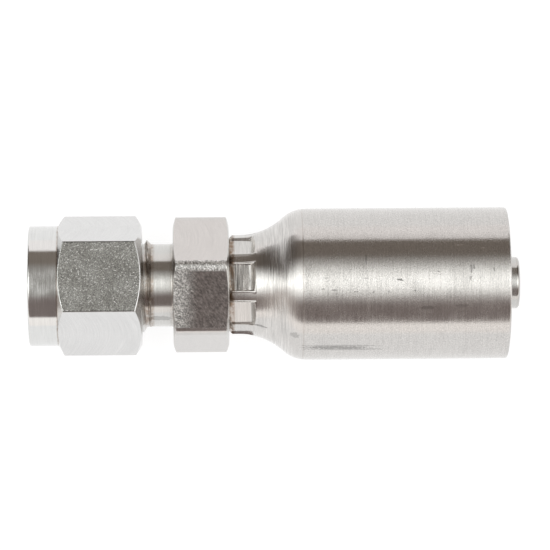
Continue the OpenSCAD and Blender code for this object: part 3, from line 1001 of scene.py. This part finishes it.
# Width of what the camera sees at the distance of the axis
VIEW_WIDTH = 64.4
# The middle of the picture: its station on the axis, and how far above the axis it lies in the picture
TARGET_X = 13.49
TARGET_RISE = 1.1


def place_camera():
    """Makes the camera."""
    data = bpy.data.cameras.new("camera")
    data.lens = CAMERA_SENSOR * CAMERA_DISTANCE / VIEW_WIDTH
    data.sensor_width = CAMERA_SENSOR
    tilt = radians(CAMERA_TILT)
    yaw = radians(CAMERA_YAW)
    roll = radians(CAMERA_ROLL)
    back = Vector((-sin(yaw), -sin(tilt) * cos(yaw), cos(tilt) * cos(yaw)))
    up = Vector((0, cos(tilt), sin(tilt)))
    right = up.cross(back)
    target = (Vector((TARGET_X, 0, 0)) + up * TARGET_RISE) * MM
    rolled_right = right * cos(roll) - up * sin(roll)
    rolled_up = up * cos(roll) + right * sin(roll)
    camera = bpy.data.objects.new("camera", data)
    turn = Matrix((rolled_right, rolled_up, back)).transposed().to_4x4()
    camera.matrix_world = Matrix.Translation(target + back * CAMERA_DISTANCE * MM) @ turn
    bpy.context.scene.collection.objects.link(camera)
    bpy.context.scene.camera = camera


# The room that lights the part. Each direction in it has a roll, which is its angle round the axis, a lean,
# which is how far it points towards the hose end, and a side, which is the same towards either end. The far
# half of the room is that of +Y
WHITE = (1, 1, 1, 1)
FAR_WALL = (1.03, 1.0, 0.99, 1)
NEAR_WALL = (1.1, 1.06, 1.03, 1)
NEAR_WALL_END = (1.22, 1.17, 1.13, 1)
FAR_CARD = (0.215, 0.185, 0.16, 1)
FAR_CARD_END = (0.1, 0.085, 0.075, 1)
NEAR_CARD = (0.21, 0.175, 0.165, 1)
NEAR_CARD_END = (0.64, 0.58, 0.54, 1)
MIDDLE = (0.3, 0.285, 0.265, 1)
LAMP = (2.5, 2.54, 2.5, 1)
LAMP_END = (1.6, 1.62, 1.6, 1)
# Rolls between which each lies: the low one, how soft that edge is, the high one, and how soft that one is
MIDDLE_ROLLS = (-28.0, 8.0, 32.0, 8.0)
LAMP_ROLLS = (-25.0, 20.0, 17.0, 22.0)
CARD_ROLLS = (-71.0, 2.5, 62.0, 2.5)
# Sides over which one colour gives way to the next
WALL_SIDES = (20.0, 45.0)
NEAR_CARD_SIDES = (15.0, 70.0)
FAR_CARD_SIDES = (12.0, 40.0)
LAMP_SIDES = (20.0, 45.0)
MIDDLE_SIDES = (6.0, 16.0)
# The far card reaches further round towards the ends: the sides over which that grows, and how far it goes
SPREAD_SIDES = (12.0, 60.0)
END_SPREAD = 70.0
# The leans towards the hose end up to which the cards are whole, and from which there is wall alone
HOSE_END_LEAN = (48.0, 66.0)
# Half the turn over which the near half of the room becomes the far one
HALVES_BLEND = 10.0


def window(tree, roll, low, soft_low, high, soft_high, spread=0.0):
    """1 between low and high, and 0 outside them, with soft edges. The spread moves the high one out."""
    rise = eased(tree, roll, low - soft_low, low + soft_low)
    fall = eased(tree, maths(tree, "SUBTRACT", roll, spread), high + soft_high, high - soft_high)
    return maths(tree, "MULTIPLY", rise, fall)


def room_colour(tree):
    """White walls with a dark card on each side of a soft light over the part, dimmer in its middle."""
    direction = add(tree, "ShaderNodeTexCoord").outputs["Generated"]
    parts = add(tree, "ShaderNodeSeparateXYZ", {"Vector": direction}).outputs
    roll = maths(tree, "MULTIPLY", maths(tree, "ARCTAN2", parts["Y"], parts["Z"]), degrees(1))
    lean = maths(tree, "MULTIPLY", maths(tree, "ARCSINE", parts["X"]), degrees(1))
    side = maths(tree, "ABSOLUTE", lean)
    near_half = remap(tree, roll, (-HALVES_BLEND, HALVES_BLEND), (1.0, 0.0))
    near_walls = mixed(tree, NEAR_WALL, NEAR_WALL_END, eased(tree, side, *WALL_SIDES))
    walls = mixed(tree, FAR_WALL, near_walls, near_half)
    near_cards = mixed(tree, NEAR_CARD, NEAR_CARD_END, eased(tree, side, *NEAR_CARD_SIDES))
    far_cards = mixed(tree, FAR_CARD, FAR_CARD_END, eased(tree, side, *FAR_CARD_SIDES))
    cards = mixed(tree, far_cards, near_cards, near_half)
    lamps = mixed(tree, LAMP, LAMP_END, eased(tree, side, *LAMP_SIDES))
    dim = mixed(tree, cards, MIDDLE, window(tree, roll, *MIDDLE_ROLLS))
    lit = mixed(tree, cards, lamps, window(tree, roll, *LAMP_ROLLS))
    light = mixed(tree, dim, lit, eased(tree, side, *MIDDLE_SIDES))
    spread = remap(tree, side, SPREAD_SIDES, (0.0, END_SPREAD), "SMOOTHSTEP")
    before_hose_end = remap(tree, lean, HOSE_END_LEAN, (1.0, 0.0), "SMOOTHSTEP")
    share = maths(tree, "MULTIPLY", window(tree, roll, *CARD_ROLLS, spread), before_hose_end)
    return mixed(tree, walls, light, share)


def light_world():
    """Lights the part with the room, which the camera itself sees as plain white."""
    world = bpy.data.worlds.new("studio")
    world.use_nodes = True
    tree = world.node_tree
    tree.nodes.clear()
    seen = add(tree, "ShaderNodeLightPath").outputs["Is Camera Ray"]
    colour = mixed(tree, room_colour(tree), WHITE, seen)
    background = add(tree, "ShaderNodeBackground", {"Color": colour, "Strength": 1.0})
    add(tree, "ShaderNodeOutputWorld", {"Surface": background.outputs["Background"]})
    bpy.context.scene.world = world


# The floor: half its width in metres, how brightly it glows to the camera, and its paint
FLOOR_HALF = 1.5
FLOOR_GLOW = 0.86
FLOOR_PAINT = (0.3, 0.3, 0.3, 1)


def make_floor():
    """A white floor that glows to the camera and in reflections, and keeps the part's faint shadow."""
    low, high = -FLOOR_HALF, FLOOR_HALF
    mesh = bpy.data.meshes.new("floor")
    corners = [(low, low, floor_z), (high, low, floor_z), (high, high, floor_z), (low, high, floor_z)]
    mesh.from_pydata(corners, [], [(0, 1, 2, 3)])
    material = bpy.data.materials.new("floor")
    material.use_nodes = True
    tree = material.node_tree
    tree.nodes.clear()
    path = add(tree, "ShaderNodeLightPath").outputs
    mirrored = maths(tree, "MAXIMUM", path["Is Glossy Ray"], path["Is Transmission Ray"])
    glow = total(tree, mirrored, (path["Is Camera Ray"], FLOOR_GLOW))
    emission = add(tree, "ShaderNodeEmission", {"Color": WHITE, "Strength": glow})
    paint = add(tree, "ShaderNodeBsdfDiffuse", {"Color": FLOOR_PAINT})
    plain = add(tree, "ShaderNodeAddShader", {0: emission.outputs[0], 1: paint.outputs[0]})
    both = add(tree, "ShaderNodeMixShader", {0: mirrored, 1: plain.outputs[0], 2: emission.outputs[0]})
    add(tree, "ShaderNodeOutputMaterial", {"Surface": both.outputs[0]})
    mesh.materials.append(material)
    floor = bpy.data.objects.new("floor", mesh)
    bpy.context.scene.collection.objects.link(floor)


place_camera()
light_world()
make_floor()
bpy.context.scene.view_settings.view_transform = "Standard"
